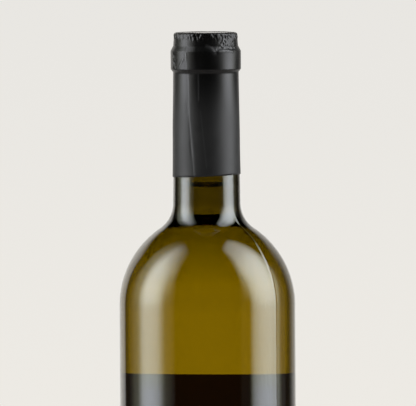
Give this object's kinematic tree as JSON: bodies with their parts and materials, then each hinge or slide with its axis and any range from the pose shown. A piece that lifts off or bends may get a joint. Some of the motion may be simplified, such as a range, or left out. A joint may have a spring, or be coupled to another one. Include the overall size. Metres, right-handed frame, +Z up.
{
  "type": "wine bottle",
  "caption": "Filled 75 cl wine bottle in olive glass, straight-sided with round shoulders, a shrunk neck capsule and a plain rear label.",
  "frame": {"origin": "centre of the base, on the surface that the bottle stands on", "axes": "+Z up the bottle's axis to the mouth; the label is on the +Y side and the bare front of the glass faces -Y"},
  "size_m": [0.075, 0.0751, 0.3003],
  "materials": {
    "olive_glass": "clear, polished, dead-leaf green",
    "white_wine": "clear liquid",
    "black_capsule": "matt heat-shrunk film with a soft sheen",
    "black_label": "uncoated black paper"
  },
  "bodies": {
    "root": {"glass_bottle": "olive_glass", "wine": "white_wine", "capsule": "black_capsule", "label": "black_label"}
  },
  "joints": []
}
